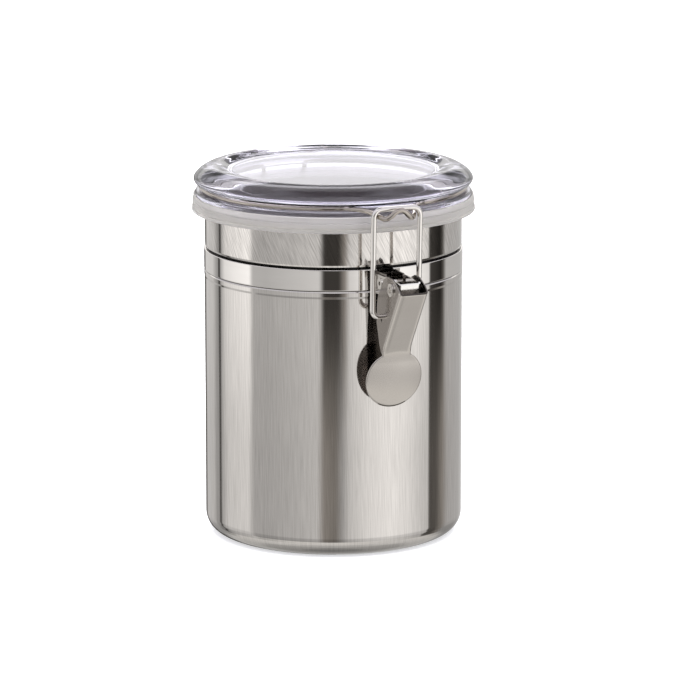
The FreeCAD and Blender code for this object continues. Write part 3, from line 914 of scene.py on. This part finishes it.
# The studio wall's brightness by compass angle from the camera, in degrees, positive to its
# right: as met by the lower and by the upper part of the canister, and high on the wall
LOW = [
    (-180, 0.10), (-160, 0.14), (-154, 0.62), (-133, 0.66), (-127, 0.42), (-122, 0.44),
    (-120.5, 0.06), (-118.5, 0.06), (-117, 0.48),
    (-106, 0.82), (-92, 0.88), (-80, 0.92), (-74, 0.54), (-60, 0.53), (-35, 0.60),
    (-14, 0.70), (-8, 0.30), (2, 0.24), (8, 0.46), (14, 0.76), (30, 1.02),
    (52, 1.18), (68, 1.05), (84, 0.80), (92, 0.74), (93, 0.10), (103, 0.12),
    (112, 0.30), (122, 0.52), (150, 0.53), (180, 0.80),
]
HIGH = [
    (-180, 0.10), (-160, 0.14), (-154, 0.72), (-133, 0.75), (-124, 0.40), (-122, 0.42),
    (-120.5, 0.03), (-118.5, 0.03), (-117, 0.48),
    (-110, 0.95), (-97, 1.10), (-78, 1.25), (-74, 0.58), (-60, 0.56), (-35, 0.66),
    (-12, 0.76), (-8, 0.05), (5, 0.05), (10, 0.30), (14, 0.80), (24, 0.98),
    (45, 1.22), (64, 1.25), (80, 1.10), (92, 0.90), (93, 0.06), (108, 0.02),
    (112, 0.10), (117, 0.58), (150, 0.54), (180, 0.85),
]
EYE = [
    (-180, 0.80), (-125, 0.80), (-118, 0.90), (-70, 0.95), (-60, 0.50), (-20, 0.50),
    (-12, 0.08), (10, 0.08), (16, 0.60), (60, 1.00), (95, 0.90), (100, 0.08),
    (118, 0.10), (125, 0.70), (150, 0.80), (180, 0.80),
]
LOFT = [
    (-180, 1.40), (-125, 1.35), (-110, 0.45), (-85, 0.30), (-70, 0.85), (-30, 0.80),
    (-20, 0.20), (20, 0.15), (30, 0.85), (75, 0.95), (90, 0.30), (110, 0.35),
    (130, 1.35), (180, 1.40),
]


def columns(tree, turn, stops):
    # Brightness by angle, a little warmer where it is dark
    coloured = []
    for degrees, level in stops:
        warm = 0.01 if level > 0.3 else 0.08
        colour = (level * (1 + warm), level, level * (1 - warm))
        coloured.append((degrees / 360 + 0.5, colour))
    return colour_ramp(tree, turn, coloured)


def studio_axes(tree, output):
    # Directions with Y turned to point away from the camera's side of the canister
    coords = add(tree, "ShaderNodeTexCoord")
    spin = add(tree, "ShaderNodeVectorRotate", rotation_type="Z_AXIS")
    spin.inputs["Angle"].default_value = -CAM_AZ
    tree.links.new(coords.outputs[output], spin.inputs["Vector"])
    return axes_of(tree, spin.outputs["Vector"])


def rise(tree, height, low, high):
    return ranged(tree, height, (low, high), interpolation="SMOOTHSTEP")


WALL_FOOT = (0.93, 0.915, 0.89)


def wall_material():
    mat = bpy.data.materials.new("studio_wall")
    mat.use_nodes = True
    tree = mat.node_tree
    tree.nodes.clear()
    x, y, z = studio_axes(tree, "Object")
    turn = math_node(tree, "MULTIPLY_ADD", compass(tree, x, y), 1 / (2 * math.pi), 0.5)
    light = columns(tree, turn, LOW)
    for stops, low, high in ((HIGH, -0.19, -0.06), (EYE, 0.10, 0.16), (LOFT, 0.31, 0.37)):
        light = mixed(tree, rise(tree, z, low, high), light, columns(tree, turn, stops))
    dim = ranged(tree, z, (-0.45, -0.22), (0.70, 1.0), "SMOOTHSTEP")
    light = multiplied(tree, light, dim)
    light = mixed(tree, rise(tree, z, -0.85, -0.55), WALL_FOOT, light)
    glow = add(tree, "ShaderNodeEmission")
    tree.links.new(light, glow.inputs["Color"])
    surface = add(tree, "ShaderNodeOutputMaterial")
    tree.links.new(glow.outputs["Emission"], surface.inputs["Surface"])
    return mat


WALL_RADIUS = 1000
WALL_SIDES = 96
wall_verts = []
wall_faces = []
for i in range(WALL_SIDES):
    a = 2 * math.pi * i / WALL_SIDES
    for z in (-1000, 440):
        wall_verts.append((WALL_RADIUS * math.cos(a), WALL_RADIUS * math.sin(a), z))
    j = (i + 1) % WALL_SIDES
    wall_faces.append((2 * i, 2 * j, 2 * j + 1, 2 * i + 1))
studio_wall = mesh_object("studio_wall", wall_verts, wall_faces, wall_material())
studio_wall.visible_camera = False
studio_wall.visible_shadow = False
studio_wall.visible_diffuse = False
studio_wall.visible_transmission = False

# Brightness of the floor below the horizon by steepness, and of the strip lights above it by the
# angle over the top, from the front horizon to the back one
FLOOR = [
    (0.0, 0.42), (0.008, 0.45), (0.020, 0.62), (0.035, 0.66), (0.07, 0.72), (0.10, 0.95),
    (0.15, 0.92), (0.4, 0.9),
]
FLOOR_TINT = (1.0, 0.99, 0.97)
STRIPS = [
    (0.0, 0.8), (0.10, 0.6), (0.17, 0.6), (0.19, 1.0), (0.37, 1.1), (0.40, 0.10),
    (0.58, 0.06), (0.61, 1.2), (0.71, 1.2), (0.74, 3.2), (0.80, 3.2), (0.83, 0.30),
    (0.90, 0.26), (0.93, 0.95), (1.0, 0.95),
]
STRIPS_TINT = (1.0, 0.99, 1.04)
FLANK_LIGHT = (0.82, 0.81, 0.87)


def tinted_ramp(tree, value, stops, tint):
    coloured = [(spot, tuple(level * part for part in tint)) for spot, level in stops]
    return colour_ramp(tree, value, coloured)


def light_world(world):
    world.use_nodes = True
    tree = world.node_tree
    tree.nodes.clear()
    x, y, z = studio_axes(tree, "Generated")
    steepness = math_node(tree, "MULTIPLY_ADD", z, 0.5, 0.5)
    below = tinted_ramp(tree, steepness, FLOOR, FLOOR_TINT)
    over = math_node(tree, "ARCTAN2", z, math_node(tree, "MULTIPLY", y, -1.0))
    strips = tinted_ramp(tree, math_node(tree, "DIVIDE", over, math.pi), STRIPS, STRIPS_TINT)
    aside = math_node(tree, "ABSOLUTE", x)
    sky = mixed(tree, rise(tree, aside, 0.15, 0.40), strips, FLANK_LIGHT)
    around = mixed(tree, math_node(tree, "GREATER_THAN", z, 0.0), below, sky)
    seen = add(tree, "ShaderNodeLightPath").outputs["Is Camera Ray"]
    background = add(tree, "ShaderNodeBackground")
    tree.links.new(mixed(tree, seen, around, (1, 1, 1)), background.inputs["Color"])
    output = add(tree, "ShaderNodeOutputWorld")
    tree.links.new(background.outputs["Background"], output.inputs["Surface"])


scene.world = bpy.data.worlds.new("studio")
light_world(scene.world)

floor_mat, tree, shader = new_material("floor_paint")
mottle = noise(tree, 3)
paint = mixed(tree, mottle, (0.93, 0.93, 0.94), (0.90, 0.90, 0.91))
tree.links.new(paint, shader.inputs["Base Color"])
shader.inputs["Roughness"].default_value = 0.8
shader.inputs["Specular IOR Level"].default_value = 0.1
shader.inputs["Emission Color"].default_value = (0.97, 0.98, 1.0, 1)
shader.inputs["Emission Strength"].default_value = 0.55
FLOOR_REACH = 4000
FLOOR_Z = -0.05
floor_corners = [
    (x * FLOOR_REACH, y * FLOOR_REACH, FLOOR_Z) for x, y in ((-1, -1), (1, -1), (1, 1), (-1, 1))
]
floor = mesh_object("floor", floor_corners, [(0, 1, 2, 3)], floor_mat)
floor.visible_glossy = False

key = bpy.data.lights.new("overhead", "AREA")
key.shape = "RECTANGLE"
key.size = 2.2
key.size_y = 2.2
key.energy = 42
key_object = bpy.data.objects.new("overhead", key)
key_object.location = (0.1, -0.1, 1.7)
key_object.visible_glossy = False
key_object.visible_transmission = False
key_object.visible_camera = False
bpy.context.collection.objects.link(key_object)
